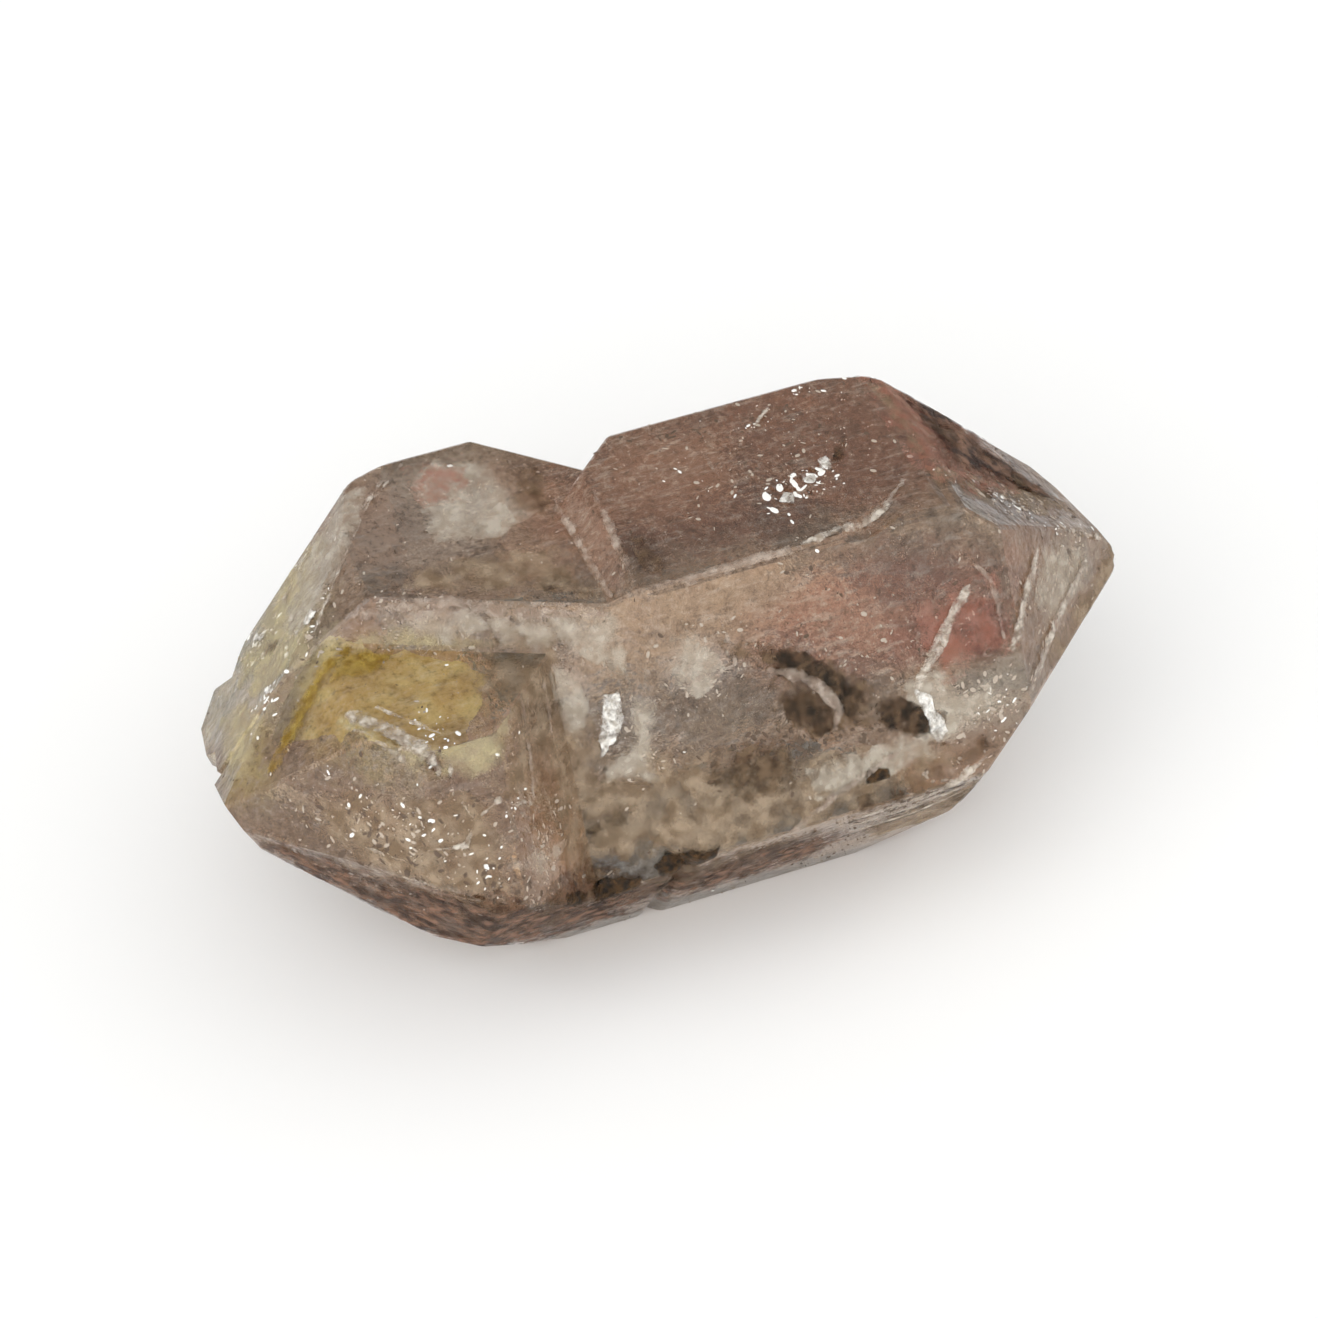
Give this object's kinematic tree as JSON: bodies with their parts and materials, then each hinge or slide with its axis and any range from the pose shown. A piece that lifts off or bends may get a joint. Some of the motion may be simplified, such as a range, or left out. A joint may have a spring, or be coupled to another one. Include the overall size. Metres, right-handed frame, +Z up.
{
  "type": "herkimer diamond",
  "caption": "Clear quartz crystal with points at both ends: stout hexagonal crystals grown side by side as one solid, lying on a prism face, with growth steps, pits and a chip.",
  "frame": {"origin": "middle of the crystal's box in X and Y, at the level of the face it rests on", "axes": "+Z up, +X along the crystals' common c axis towards the right point, -Y towards the viewer's front"},
  "size_m": [0.0304, 0.017, 0.0137],
  "materials": {
    "clear_quartz": "polished"
  },
  "bodies": {
    "root": {"quartz_crystal": "clear_quartz"}
  },
  "joints": []
}
